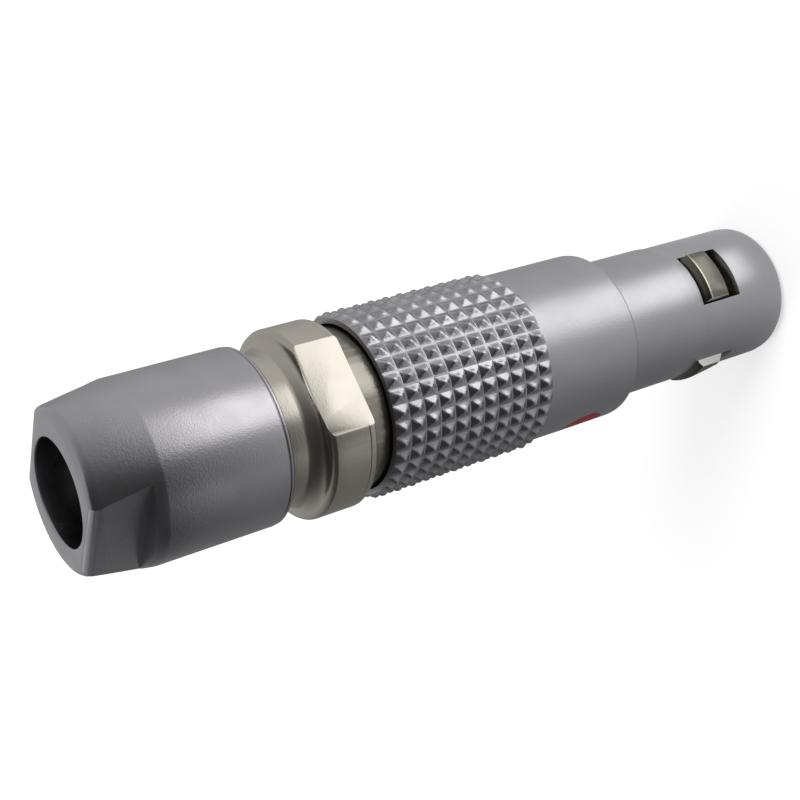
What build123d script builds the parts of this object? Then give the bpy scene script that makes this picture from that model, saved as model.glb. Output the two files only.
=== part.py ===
from build123d import *
import math
import os

# Straight push-pull triaxial cable plug, nose down, in millimetres.
# The origin is at the middle of the nose's end face and +Z runs along the axis to the cable end.
# The first latch and the red alignment dot lie on the -X side.

# Release shell, the knurled outer tube with the plug nose in one piece
NOSE_R = 3.54
NOSE_LENGTH = 11.55
NOSE_WALL = 0.54
NOSE_ROUND = 1.0
NOSE_STEP_Z = 6.20
NOSE_STEP_LENGTH = 0.55
NOSE_STEP_RISE = 0.06
NOSE_LIP_R = 2.20
NOSE_LIP_LENGTH = 2.60
COLLAR_R = 4.275
COLLAR_LENGTH = 5.72
COLLAR_ROUND = 0.50
COLLAR_WALL = 0.525
SHELL_STEP_INSET = 0.45
SHELL_MOUTH_WALL = 0.24
SHELL_MOUTH_DEPTH = 2.40
EDGE = 0.12

# Knurl of square-based pyramids, between grooves cut lengthwise and grooves turned round
KNURL_RISE = 0.225
KNURL_DEPTH = 0.28
KNURL_PITCH = 0.83
KNURL_ROWS = 11
KNURL_AROUND = 36
KNURL_LAND = 0.05

# Latches: three fingers, their teeth and the windows that the teeth stand in
LATCH_ANGLES = (180.0, -77.5, 77.5)
WINDOW_Z = 3.45
WINDOW_LENGTH = 2.70
WINDOW_WIDTH = 2.90
TOOTH_RISE = 0.31
TOOTH_SIDE_GAP = 0.10
TOOTH_FRONT_GAP = 0.19
TOOTH_RAMP_DROP = 0.22
TOOTH_CREST_LENGTH = 0.15
TOOTH_SHOULDER = 0.45
FINGER_WALL = 0.35
FINGER_HALF_ANGLE = 36.0
ROOT_GROOVE_R = 0.12
ROOT_GROOVE_SETBACK = 0.15
RELEASE_TRAVEL = 0.60
RELEASE_STOP_GAP = 0.06

# Latch sleeve
SLEEVE_FRONT_INSET = 0.50
SLEEVE_RING_LENGTH = 1.50
SLEEVE_WALL = 0.45
SLEEVE_BORE_RISE = 0.15
SLEEVE_NECK_LENGTH = 2.00
SLEEVE_BAND_LENGTH = 1.20
SLEEVE_BAND_INSET = 0.60
SLEEVE_SCREW_LENGTH = 3.10
RUNNING_GAP = 0.05

# Adapter with two wrench flats, screwed to the sleeve
FLANGE_GAP = 1.10
FLANGE_LENGTH = 2.17
FLANGE_R = 4.475
FLANGE_FLATS = 7.78
FLANGE_FLAT_ANGLE = -81.4
FLANGE_ROUND = 0.15
FLANK_LENGTH = 0.12
ADAPTER_LAND_LENGTH = 2.40
ADAPTER_LAND_GAP = 0.08
NECK_R = 3.50
NECK_LENGTH = 1.83
NECK_FILLET = 0.75
NECK_THREAD_LENGTH = 3.90
THREAD_GAP = 0.03

# Collet nut
NUT_R = 4.157
NUT_LENGTH = 9.00
NUT_FRONT_ROUND = 0.36
NUT_CONE_LENGTH = 3.035
NUT_CONE_CROWN = 0.02
NUT_END_R = 3.65
NUT_END_ROUND = 0.20
CABLE_BORE_RISE = 0.26
CABLE_BORE_LENGTH = 3.00
NUT_FLATS = 6.03
NUT_FLAT_LENGTH = 2.55
NUT_FLAT_RUNOUT = 0.50
NUT_FLAT_ANGLE = -150.0

# Cable clamp
COLLET_INSET = 0.25
COLLET_WALL = 0.55
COLLET_FLARE = 0.45
COLLET_RING_LENGTH = 2.15
COLLET_SLOTS = 6
COLLET_SLOT = 0.30
COLLET_LEAD = 0.10
COLLET_END_GAP = 0.30
GRIP_GROOVES = 3
GRIP_PITCH = 0.80
GRIP_DEPTH = 0.15
WASHER_THICKNESS = 0.50
BRAID_CONE_LENGTH = 4.05
BRAID_CONE_SPREAD = 0.45
BRAID_CONE_WALL = 0.25
BRAID_CONE_FLANGE = 0.20
SEAT_BUSH_LENGTH = 3.30
SEAT_BUSH_WALL = 0.25
SEAT_GAP = 0.05

# Contacts and insulators
PIN_R = 0.45
PIN_TIP_Z = 3.15
PIN_BODY_R = 0.62
PIN_SHOULDER_R = 0.85
PIN_SHOULDER_Z = 8.40
PIN_SHOULDER_LENGTH = 0.90
PIN_REAR_Z = 17.60
PIN_CUP_R = 0.42
PIN_CUP_DEPTH = 2.40
SCREEN_BORE_R = 1.20
SCREEN_REAR_BORE_R = 1.00
SCREEN_R = 1.50
SCREEN_TIP_Z = 2.75
SCREEN_STEP_Z = 15.60
SCREEN_REAR_Z = 21.60
SCREEN_SHOULDER_R = 1.90
SCREEN_SHOULDER_Z = 14.00
SCREEN_SHOULDER_LENGTH = 0.80
SCREEN_SLITS = 4
SCREEN_SLIT = 0.20
SCREEN_SLIT_LENGTH = 4.00
INNER_INSULATOR_Z = 4.40
OUTER_INSULATOR_Z = 4.20
OUTER_INSULATOR_R = 1.90
INSULATOR_REAR_Z = 18.00
INSULATOR_GAP = 0.05
LOCK_RING_LENGTH = 1.00
LOCK_RING_SLOT = 0.60
LOCK_RING_SLOT_DEPTH = 0.45
FERRULE_Z = 18.80
FERRULE_LENGTH = 2.40
FERRULE_WALL = 0.22
FERRULE_GAP = 0.14

# Red alignment dot
DOT_R = 1.55
DOT_SETBACK = 2.55
DOT_DEPTH = 0.10

# Radii worked out from those above
NOSE_BACK_R = NOSE_R + NOSE_STEP_RISE
NOSE_BORE_R = NOSE_R - NOSE_WALL
KNURL_R = COLLAR_R + KNURL_RISE
KNURL_ROOT_R = KNURL_R - KNURL_DEPTH
SHELL_BORE_R = COLLAR_R - COLLAR_WALL
SHELL_MOUTH_R = KNURL_ROOT_R - SHELL_MOUTH_WALL
FINGER_R = NOSE_BORE_R - RUNNING_GAP
FINGER_BORE_R = FINGER_R - FINGER_WALL
TOOTH_CREST_R = NOSE_R + TOOTH_RISE
SLEEVE_RING_R = SHELL_BORE_R - RUNNING_GAP
SLEEVE_BORE_R = FINGER_BORE_R + SLEEVE_BORE_RISE
SLEEVE_BODY_R = SLEEVE_BORE_R + SLEEVE_WALL
SCREW_R = SLEEVE_BODY_R + THREAD_GAP
ADAPTER_BORE_R = SLEEVE_BORE_R
CLAMP_R = ADAPTER_BORE_R - SEAT_GAP
COLLET_BORE_R = CLAMP_R - COLLET_WALL
COLLET_CONE_R = CLAMP_R + COLLET_FLARE
CABLE_BORE_R = COLLET_BORE_R + CABLE_BORE_RISE
NUT_SCREW_R = NECK_R + THREAD_GAP
NUT_BORE_CONE_R = COLLET_CONE_R + 2 * SEAT_GAP
BRAID_CONE_R = SLEEVE_BORE_R - 2 * SEAT_GAP - SEAT_BUSH_WALL
BRAID_CONE_TIP_R = BRAID_CONE_R - BRAID_CONE_SPREAD
BRAID_CONE_BORE_R = BRAID_CONE_TIP_R - BRAID_CONE_WALL

# Heights worked out from those above, from the nose to the cable end
WINDOW_REAR_Z = WINDOW_Z + WINDOW_LENGTH
TOOTH_FRONT_Z = WINDOW_Z + TOOTH_FRONT_GAP
TOOTH_WIDTH = WINDOW_WIDTH - 2 * TOOTH_SIDE_GAP
SLEEVE_FRONT_Z = NOSE_LENGTH - SLEEVE_FRONT_INSET
SLEEVE_NECK_Z = SLEEVE_FRONT_Z + SLEEVE_NECK_LENGTH
FINGER_ROOT_Z = SLEEVE_FRONT_Z - RUNNING_GAP
SHELL_STEP_Z = NOSE_LENGTH + SHELL_STEP_INSET
SLEEVE_RING_Z = SHELL_STEP_Z + RELEASE_TRAVEL + RELEASE_STOP_GAP
KNURL_START_Z = NOSE_LENGTH + COLLAR_LENGTH
SHELL_REAR_Z = KNURL_START_Z + KNURL_ROWS * KNURL_PITCH
SHELL_MOUTH_Z = SHELL_REAR_Z - SHELL_MOUTH_DEPTH
SLEEVE_BAND_Z = SHELL_MOUTH_Z - SLEEVE_BAND_INSET - SLEEVE_BAND_LENGTH
FLANGE_Z = SHELL_REAR_Z + FLANGE_GAP
FLANGE_END_Z = FLANGE_Z + FLANGE_LENGTH
ADAPTER_FRONT_Z = FLANGE_Z - ADAPTER_LAND_LENGTH
SLEEVE_REAR_Z = ADAPTER_FRONT_Z + SLEEVE_SCREW_LENGTH
NUT_FRONT_Z = FLANGE_END_Z + NECK_LENGTH
ADAPTER_REAR_Z = NUT_FRONT_Z + NECK_THREAD_LENGTH
NUT_SCREW_END_Z = ADAPTER_REAR_Z + COLLET_END_GAP
NUT_REAR_Z = NUT_FRONT_Z + NUT_LENGTH
NUT_CONE_Z = NUT_REAR_Z - NUT_CONE_LENGTH
NUT_BORE_STEP_Z = NUT_REAR_Z - CABLE_BORE_LENGTH
COLLET_FRONT_Z = NUT_FRONT_Z - COLLET_INSET
WASHER_Z = COLLET_FRONT_Z - SEAT_GAP - WASHER_THICKNESS
BRAID_CONE_REAR_Z = WASHER_Z - SEAT_GAP
BRAID_CONE_Z = BRAID_CONE_REAR_Z - BRAID_CONE_LENGTH


def at_angle(shape, degrees):
    return Rot(0, 0, degrees) * shape


def turned(points):
    """Revolves a closed outline of (radius, height) points about the axis."""
    outline = Plane.XZ * Polyline(*points, close=True)
    return revolve(make_face(outline), Axis.Z)


def ring(outer_r, inner_r, low_z, high_z):
    return turned([(inner_r, low_z), (outer_r, low_z), (outer_r, high_z), (inner_r, high_z)])


def block(x_low, x_high, width, z_low, z_high):
    """A box along X, centred on Y = 0."""
    size_x = x_high - x_low
    size_z = z_high - z_low
    centre = ((x_low + x_high) / 2, 0, (z_low + z_high) / 2)
    return Pos(*centre) * Box(size_x, width, size_z)


def flats(across, z_low, z_high, degrees, runout=0.0):
    """Two opposite cutters that leave a pair of parallel flats. A runout rounds their low end."""
    reach = 2 * KNURL_R
    near = across / 2
    low = [Line((reach, z_low), (near, z_low))]
    if runout:
        bend = runout * (1 - math.sqrt(0.5))
        low = [
            Line((reach, z_low), (near + runout, z_low)),
            ThreePointArc((near + runout, z_low), (near + bend, z_low + bend), (near, z_low + runout)),
        ]
    rest = Polyline((near, z_low + runout), (near, z_high), (reach, z_high), (reach, z_low))
    section = make_face(Plane.XZ * Curve([*low, rest]))
    one = extrude(section, amount=reach, both=True)
    other = Rot(0, 0, 180) * one
    return at_angle(one, degrees) + at_angle(other, degrees)


def save(shape, name):
    solids = shape.solids()
    body = solids[0] if len(solids) == 1 else Compound(children=list(solids))
    export_step(body, f"parts/{name}.step")


def arc(start, end, centre):
    """The short way round a quarter circle, as (radius, height) points."""
    middle_x = (start[0] + end[0]) / 2 - centre[0]
    middle_y = (start[1] + end[1]) / 2 - centre[1]
    stretch = math.sqrt(2)
    return ThreePointArc(start, (centre[0] + stretch * middle_x, centre[1] + stretch * middle_y), end)


def shell_outline():
    """Half section of the release shell, from the nose lip round to the bore."""
    round_start = (NOSE_R - NOSE_ROUND, 0)
    round_end = (NOSE_R, NOSE_ROUND)
    collar_start = (COLLAR_R - COLLAR_ROUND, NOSE_LENGTH)
    collar_end = (COLLAR_R, NOSE_LENGTH + COLLAR_ROUND)
    outer = [
        Line((NOSE_LIP_R + EDGE, 0), round_start),
        arc(round_start, round_end, (round_start[0], round_end[1])),
        Polyline(
            round_end,
            (NOSE_R, NOSE_STEP_Z),
            (NOSE_BACK_R, NOSE_STEP_Z + NOSE_STEP_LENGTH),
            (NOSE_BACK_R, NOSE_LENGTH),
            collar_start,
        ),
        arc(collar_start, collar_end, (collar_start[0], collar_end[1])),
        Polyline(
            collar_end,
            (COLLAR_R, KNURL_START_Z),
            (KNURL_R, KNURL_START_Z + KNURL_PITCH / 2),
            (KNURL_R, SHELL_REAR_Z - KNURL_PITCH / 2),
            (COLLAR_R, SHELL_REAR_Z),
            (SHELL_MOUTH_R, SHELL_REAR_Z),
            (SHELL_MOUTH_R, SHELL_MOUTH_Z),
            (SHELL_BORE_R, SHELL_MOUTH_Z),
            (SHELL_BORE_R, SHELL_STEP_Z),
            (NOSE_BORE_R, SHELL_STEP_Z),
            (NOSE_BORE_R, NOSE_LIP_LENGTH),
            (NOSE_LIP_R, NOSE_LIP_LENGTH),
            (NOSE_LIP_R, EDGE),
            (NOSE_LIP_R + EDGE, 0),
        ),
    ]
    return make_face(Plane.XZ * Curve(outer))


def knurl_grooves():
    """V grooves round the shell and along it, whose crossings leave the pyramids."""
    mouth_r = KNURL_R + EDGE
    widening = (KNURL_DEPTH + EDGE) / KNURL_DEPTH
    half_pitch = (KNURL_PITCH - KNURL_LAND) / 2 * widening
    grooves = []
    for row in range(1, KNURL_ROWS):
        z = KNURL_START_Z + row * KNURL_PITCH
        grooves.append(turned([(KNURL_ROOT_R, z), (mouth_r, z - half_pitch), (mouth_r, z + half_pitch)]))
    spacing = 2 * math.pi * KNURL_R / KNURL_AROUND
    half_spacing = (spacing - KNURL_LAND) / 2 * widening
    section = Plane.XY.offset(KNURL_START_Z) * Polyline(
        (KNURL_ROOT_R, 0), (mouth_r, half_spacing), (mouth_r, -half_spacing), close=True
    )
    one = extrude(make_face(section), amount=SHELL_REAR_Z - KNURL_START_Z + EDGE, dir=(0, 0, 1))
    for step in range(KNURL_AROUND):
        grooves.append(at_angle(one, (step + 0.5) * 360 / KNURL_AROUND))
    return grooves


def latch_windows():
    """One cutter for each window in the nose wall."""
    one = block(NOSE_BORE_R / 2, 2 * NOSE_R, WINDOW_WIDTH, WINDOW_Z, WINDOW_REAR_Z)
    return [at_angle(one, degrees) for degrees in LATCH_ANGLES]


def outer_shell():
    shell = revolve(shell_outline(), Axis.Z)
    shell = shell.cut(*knurl_grooves())
    shell = shell.cut(*latch_windows())
    return shell - alignment_dot()


def alignment_dot():
    """The red enamel, a round patch of the collar's own skin on the -X side."""
    skin = ring(COLLAR_R, COLLAR_R - DOT_DEPTH, NOSE_LENGTH, KNURL_START_Z)
    start = Plane(origin=(0, 0, NOSE_LENGTH + DOT_SETBACK), z_dir=(-1, 0, 0))
    return skin & (start * extrude(Circle(DOT_R), amount=2 * COLLAR_R))


def latch_tooth():
    """The turned tooth: front cone, crest and steep rear shoulder, with a flat ramp milled on top."""
    inner_r = (FINGER_R + FINGER_BORE_R) / 2
    rear_z = WINDOW_REAR_Z - TOOTH_SIDE_GAP
    crest_z = rear_z - TOOTH_SHOULDER
    blank = turned(
        [
            (inner_r, TOOTH_FRONT_Z),
            (FINGER_R, TOOTH_FRONT_Z),
            (TOOTH_CREST_R, TOOTH_FRONT_Z + TOOTH_CREST_R - FINGER_R),
            (TOOTH_CREST_R, crest_z + TOOTH_CREST_LENGTH),
            (TOOTH_CREST_R - TOOTH_RAMP_DROP, rear_z - EDGE),
            (inner_r, rear_z),
        ]
    )
    ramp_slope = TOOTH_RAMP_DROP / (crest_z - TOOTH_FRONT_Z - TOOTH_SHOULDER)
    front_z = TOOTH_FRONT_Z - EDGE
    ramp_r = TOOTH_CREST_R - ramp_slope * (crest_z - front_z)
    below_ramp = Plane.XZ * Polyline(
        (0, front_z),
        (ramp_r, front_z),
        (TOOTH_CREST_R, crest_z),
        (TOOTH_CREST_R, rear_z),
        (0, rear_z),
        close=True,
    )
    return blank & extrude(make_face(below_ramp), amount=TOOTH_WIDTH / 2, both=True)


def latch_finger():
    """One spring finger with its tooth, on the +X side, with a groove across its root where it bends."""
    spring = ring(FINGER_R, FINGER_BORE_R, TOOTH_FRONT_Z, FINGER_ROOT_Z)
    side = 2 * NOSE_R * math.tan(math.radians(FINGER_HALF_ANGLE))
    wedge = Plane.XY.offset(TOOTH_FRONT_Z) * Polyline(
        (0, 0), (2 * NOSE_R, side), (2 * NOSE_R, -side), close=True
    )
    finger = spring & extrude(make_face(wedge), amount=FINGER_ROOT_Z - TOOTH_FRONT_Z, dir=(0, 0, 1))
    groove_place = Pos(FINGER_BORE_R, 0, FINGER_ROOT_Z - ROOT_GROOVE_SETBACK)
    groove = groove_place * Rot(90, 0, 0) * Cylinder(ROOT_GROOVE_R, 2 * NOSE_R)
    return finger - groove + latch_tooth()


def latch_sleeve():
    """The tube that carries the fingers and the contacts, and guides the shell."""
    ring_end_z = SLEEVE_RING_Z + SLEEVE_RING_LENGTH
    band_end_z = SLEEVE_BAND_Z + SLEEVE_BAND_LENGTH
    return turned(
        [
            (FINGER_BORE_R, SLEEVE_FRONT_Z),
            (FINGER_R, SLEEVE_FRONT_Z),
            (FINGER_R, SLEEVE_RING_Z),
            (SLEEVE_RING_R, SLEEVE_RING_Z),
            (SLEEVE_RING_R, ring_end_z),
            (SLEEVE_BODY_R, ring_end_z),
            (SLEEVE_BODY_R, SLEEVE_BAND_Z),
            (SLEEVE_RING_R, SLEEVE_BAND_Z),
            (SLEEVE_RING_R, band_end_z),
            (SLEEVE_BODY_R, band_end_z),
            (SLEEVE_BODY_R, SLEEVE_REAR_Z - EDGE),
            (SLEEVE_BODY_R - EDGE, SLEEVE_REAR_Z),
            (SLEEVE_BORE_R, SLEEVE_REAR_Z),
            (SLEEVE_BORE_R, SLEEVE_NECK_Z),
            (FINGER_BORE_R, SLEEVE_NECK_Z),
        ]
    )


def adapter_outline():
    """Half section of the adapter: land, rounded flange, hollow fillet, threaded neck and bores."""
    land_r = SHELL_MOUTH_R - ADAPTER_LAND_GAP
    screw_end_z = SLEEVE_REAR_Z + SEAT_GAP
    rim_r = FLANGE_R - FLANGE_ROUND
    front_round_z = FLANGE_Z + FLANGE_ROUND
    rear_round_z = FLANGE_END_Z - FLANGE_ROUND
    fillet_start = (NECK_R + NECK_FILLET, FLANGE_END_Z + FLANK_LENGTH)
    fillet_end = (NECK_R, fillet_start[1] + NECK_FILLET)
    return [
        Polyline(
            (SCREW_R, ADAPTER_FRONT_Z),
            (land_r - EDGE, ADAPTER_FRONT_Z),
            (land_r, ADAPTER_FRONT_Z + EDGE),
            (land_r, FLANGE_Z),
            (rim_r, FLANGE_Z),
        ),
        arc((rim_r, FLANGE_Z), (FLANGE_R, front_round_z), (rim_r, front_round_z)),
        Line((FLANGE_R, front_round_z), (FLANGE_R, rear_round_z)),
        arc((FLANGE_R, rear_round_z), (rim_r, FLANGE_END_Z), (rim_r, rear_round_z)),
        Line((rim_r, FLANGE_END_Z), fillet_start),
        arc(fillet_start, fillet_end, (fillet_start[0], fillet_end[1])),
        Polyline(
            fillet_end,
            (NECK_R, ADAPTER_REAR_Z - 2 * EDGE),
            (NECK_R - 2 * EDGE, ADAPTER_REAR_Z),
            (ADAPTER_BORE_R, ADAPTER_REAR_Z),
            (ADAPTER_BORE_R, screw_end_z),
            (SCREW_R, screw_end_z),
            (SCREW_R, ADAPTER_FRONT_Z),
        ),
    ]


def adapter():
    """The nickel-plated body with the wrench flats, from the land in the shell to the nut's thread."""
    body = revolve(make_face(Plane.XZ * Curve(adapter_outline())), Axis.Z)
    cut_low_z = FLANGE_Z - EDGE / 2
    cut_high_z = FLANGE_END_Z + 2 * EDGE
    return body - flats(FLANGE_FLATS, cut_low_z, cut_high_z, FLANGE_FLAT_ANGLE)


def nut_outline():
    """Half section of the nut, from its rounded front edge to the cable bore."""
    front = (NUT_R - NUT_FRONT_ROUND, NUT_FRONT_Z)
    side = (NUT_R, NUT_FRONT_Z + NUT_FRONT_ROUND)
    cone_start = (NUT_R, NUT_CONE_Z)
    cone_end = (NUT_END_R, NUT_REAR_Z - NUT_END_ROUND)
    crown = ((cone_start[0] + cone_end[0]) / 2 + NUT_CONE_CROWN, (cone_start[1] + cone_end[1]) / 2)
    end_r = NUT_END_R - NUT_END_ROUND
    return [
        Line((NUT_SCREW_R + EDGE, NUT_FRONT_Z), front),
        arc(front, side, (front[0], side[1])),
        Line(side, cone_start),
        ThreePointArc(cone_start, crown, cone_end),
        arc(cone_end, (end_r, NUT_REAR_Z), (end_r, cone_end[1])),
        Polyline(
            (end_r, NUT_REAR_Z),
            (CABLE_BORE_R + EDGE, NUT_REAR_Z),
            (CABLE_BORE_R, NUT_REAR_Z - EDGE),
            (CABLE_BORE_R, NUT_BORE_STEP_Z),
            (NUT_BORE_CONE_R, NUT_SCREW_END_Z),
            (NUT_SCREW_R, NUT_SCREW_END_Z),
            (NUT_SCREW_R, NUT_FRONT_Z + EDGE),
            (NUT_SCREW_R + EDGE, NUT_FRONT_Z),
        ),
    ]


def collet_nut():
    """The rear nut: threaded bore, inner cone that closes the collet, and the cable bore."""
    body = revolve(make_face(Plane.XZ * Curve(nut_outline())), Axis.Z)
    flat_z = NUT_REAR_Z - NUT_FLAT_LENGTH
    return body - flats(NUT_FLATS, flat_z, NUT_REAR_Z + EDGE, NUT_FLAT_ANGLE, NUT_FLAT_RUNOUT)


def collet():
    """The slotted cable clamp, a plain barrel in the adapter with a cone in the nut and grip grooves."""
    slope = (NUT_BORE_CONE_R - CABLE_BORE_R) / (NUT_BORE_STEP_Z - NUT_SCREW_END_Z)
    rear_z = NUT_BORE_STEP_Z - COLLET_END_GAP
    rear_r = COLLET_CONE_R - slope * (rear_z - NUT_SCREW_END_Z)
    bore = []
    for groove in range(GRIP_GROOVES):
        z = rear_z - (groove + 0.5) * GRIP_PITCH
        bore.append((COLLET_BORE_R, z + GRIP_PITCH / 2 - GRIP_DEPTH))
        bore.append((COLLET_BORE_R + GRIP_DEPTH, z))
        bore.append((COLLET_BORE_R, z - GRIP_DEPTH))
    body = turned(
        [
            (COLLET_BORE_R, COLLET_FRONT_Z),
            (CLAMP_R, COLLET_FRONT_Z),
            (CLAMP_R, ADAPTER_REAR_Z + COLLET_LEAD),
            (COLLET_CONE_R, NUT_SCREW_END_Z),
            (rear_r, rear_z),
            (COLLET_BORE_R, rear_z),
            *bore,
        ]
    )
    slot_z = COLLET_FRONT_Z + COLLET_RING_LENGTH
    slot = block(0, 2 * COLLET_CONE_R, COLLET_SLOT, slot_z, rear_z + EDGE)
    slots = [at_angle(slot, step * 360 / COLLET_SLOTS) for step in range(COLLET_SLOTS)]
    return body.cut(*slots)


def thrust_washer():
    return ring(CLAMP_R, COLLET_BORE_R, WASHER_Z, WASHER_Z + WASHER_THICKNESS)


def braid_cone():
    """The cone that spreads the outer braid, with the braid trapped against the seat bush."""
    flange_z = SLEEVE_REAR_Z + BRAID_CONE_FLANGE
    return turned(
        [
            (BRAID_CONE_BORE_R, BRAID_CONE_Z),
            (BRAID_CONE_TIP_R, BRAID_CONE_Z),
            (BRAID_CONE_R, SLEEVE_REAR_Z - SEAT_GAP),
            (BRAID_CONE_R, flange_z),
            (CLAMP_R, flange_z),
            (CLAMP_R, BRAID_CONE_REAR_Z),
            (BRAID_CONE_BORE_R, BRAID_CONE_REAR_Z),
        ]
    )


def seat_bush():
    """The bush in the sleeve whose conical mouth faces the braid cone."""
    rear_z = SLEEVE_REAR_Z - BRAID_CONE_FLANGE
    slope = (BRAID_CONE_R - BRAID_CONE_TIP_R) / (SLEEVE_REAR_Z - SEAT_GAP - BRAID_CONE_Z)
    throat_r = BRAID_CONE_TIP_R + SEAT_GAP
    mouth_r = throat_r + slope * (rear_z - BRAID_CONE_Z)
    outer_r = SLEEVE_BORE_R - SEAT_GAP
    return turned(
        [
            (throat_r, rear_z - SEAT_BUSH_LENGTH),
            (outer_r, rear_z - SEAT_BUSH_LENGTH),
            (outer_r, rear_z),
            (mouth_r, rear_z),
            (throat_r, BRAID_CONE_Z),
        ]
    )


def centre_pin():
    """The gold-plated centre contact with its solder cup."""
    shoulder_end_z = PIN_SHOULDER_Z + PIN_SHOULDER_LENGTH
    cup_z = PIN_REAR_Z - PIN_CUP_DEPTH
    return turned(
        [
            (0, PIN_TIP_Z),
            (PIN_R / 2, PIN_TIP_Z),
            (PIN_R, PIN_TIP_Z + PIN_R),
            (PIN_R, PIN_SHOULDER_Z),
            (PIN_SHOULDER_R, PIN_SHOULDER_Z),
            (PIN_SHOULDER_R, shoulder_end_z),
            (PIN_BODY_R, shoulder_end_z),
            (PIN_BODY_R, PIN_REAR_Z),
            (PIN_CUP_R, PIN_REAR_Z),
            (PIN_CUP_R, cup_z),
            (0, cup_z),
        ]
    )


def screen_contact():
    """The slit tube round the centre pin that carries the inner screen."""
    shoulder_end_z = SCREEN_SHOULDER_Z + SCREEN_SHOULDER_LENGTH
    tube = turned(
        [
            (SCREEN_BORE_R, SCREEN_TIP_Z),
            (SCREEN_R - EDGE, SCREEN_TIP_Z),
            (SCREEN_R, SCREEN_TIP_Z + EDGE),
            (SCREEN_R, SCREEN_SHOULDER_Z),
            (SCREEN_SHOULDER_R, SCREEN_SHOULDER_Z),
            (SCREEN_SHOULDER_R, shoulder_end_z),
            (SCREEN_R, shoulder_end_z),
            (SCREEN_R, SCREEN_REAR_Z),
            (SCREEN_REAR_BORE_R, SCREEN_REAR_Z),
            (SCREEN_REAR_BORE_R, SCREEN_STEP_Z),
            (SCREEN_BORE_R, SCREEN_STEP_Z),
        ]
    )
    slit = block(0, 2 * SCREEN_R, SCREEN_SLIT, SCREEN_TIP_Z - EDGE, SCREEN_TIP_Z + SCREEN_SLIT_LENGTH)
    turns = [(step + 0.5) * 360 / SCREEN_SLITS for step in range(SCREEN_SLITS)]
    return tube.cut(*[at_angle(slit, degrees) for degrees in turns])


def inner_insulator():
    """Front insulator between the centre pin and the screen contact."""
    outer_r = SCREEN_BORE_R - INSULATOR_GAP
    pin_r = PIN_R + INSULATOR_GAP
    pocket_r = PIN_SHOULDER_R + INSULATOR_GAP
    pocket_z = PIN_SHOULDER_Z - INSULATOR_GAP
    rear_z = PIN_SHOULDER_Z + PIN_SHOULDER_LENGTH + INSULATOR_GAP
    return turned(
        [
            (pin_r, INNER_INSULATOR_Z),
            (outer_r, INNER_INSULATOR_Z),
            (outer_r, rear_z),
            (pocket_r, rear_z),
            (pocket_r, pocket_z),
            (pin_r, pocket_z),
        ]
    )


def inner_insulator_bush():
    """Rear insulator that traps the centre pin's shoulder."""
    low_z = PIN_SHOULDER_Z + PIN_SHOULDER_LENGTH + 2 * INSULATOR_GAP
    outer_r = SCREEN_BORE_R - INSULATOR_GAP
    return ring(outer_r, PIN_BODY_R + INSULATOR_GAP, low_z, SCREEN_STEP_Z - INSULATOR_GAP)


def outer_insulator():
    """Insulator between the screen contact and the latch sleeve."""
    bore_r = SCREEN_R + INSULATOR_GAP
    neck_r = FINGER_BORE_R - INSULATOR_GAP
    neck_z = SLEEVE_FRONT_Z + 2 * INSULATOR_GAP
    body_r = SLEEVE_BORE_R - INSULATOR_GAP
    step_z = SLEEVE_NECK_Z + INSULATOR_GAP
    rear_z = SCREEN_SHOULDER_Z + SCREEN_SHOULDER_LENGTH + INSULATOR_GAP
    pocket_r = SCREEN_SHOULDER_R + INSULATOR_GAP
    pocket_z = SCREEN_SHOULDER_Z - INSULATOR_GAP
    return turned(
        [
            (bore_r, OUTER_INSULATOR_Z),
            (OUTER_INSULATOR_R, OUTER_INSULATOR_Z),
            (OUTER_INSULATOR_R, neck_z),
            (neck_r, neck_z),
            (neck_r, step_z),
            (body_r, step_z),
            (body_r, rear_z),
            (pocket_r, rear_z),
            (pocket_r, pocket_z),
            (bore_r, pocket_z),
        ]
    )


def outer_insulator_bush():
    """Rear insulator that traps the screen contact's shoulder."""
    low_z = SCREEN_SHOULDER_Z + SCREEN_SHOULDER_LENGTH + 2 * INSULATOR_GAP
    return ring(SLEEVE_BORE_R - INSULATOR_GAP, SCREEN_R + INSULATOR_GAP, low_z, INSULATOR_REAR_Z)


def lock_ring():
    """Slotted ring that holds the insulators in the sleeve."""
    low_z = INSULATOR_REAR_Z + INSULATOR_GAP
    high_z = low_z + LOCK_RING_LENGTH
    body = ring(SLEEVE_BORE_R - INSULATOR_GAP, SCREEN_SHOULDER_R + 2 * INSULATOR_GAP, low_z, high_z)
    slot = block(-SLEEVE_BORE_R, SLEEVE_BORE_R, LOCK_RING_SLOT, high_z - LOCK_RING_SLOT_DEPTH, high_z + EDGE)
    return body - slot


def crimp_ferrule():
    """Ferrule that crimps the inner braid on the screen contact's barrel."""
    inner_r = SCREEN_R + FERRULE_GAP
    return ring(inner_r + FERRULE_WALL, inner_r, FERRULE_Z, FERRULE_Z + FERRULE_LENGTH)


def main():
    os.makedirs("parts", exist_ok=True)
    save(outer_shell(), "outer_shell")
    save(alignment_dot(), "alignment_dot")
    for number, degrees in enumerate(LATCH_ANGLES, start=1):
        save(at_angle(latch_finger(), degrees), f"latch_finger_{number}")
    pieces = (
        latch_sleeve,
        adapter,
        collet_nut,
        collet,
        thrust_washer,
        braid_cone,
        seat_bush,
        centre_pin,
        screen_contact,
        inner_insulator,
        inner_insulator_bush,
        outer_insulator,
        outer_insulator_bush,
        lock_ring,
        crimp_ferrule,
    )
    for piece in pieces:
        save(piece(), piece.__name__)


main()
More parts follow.
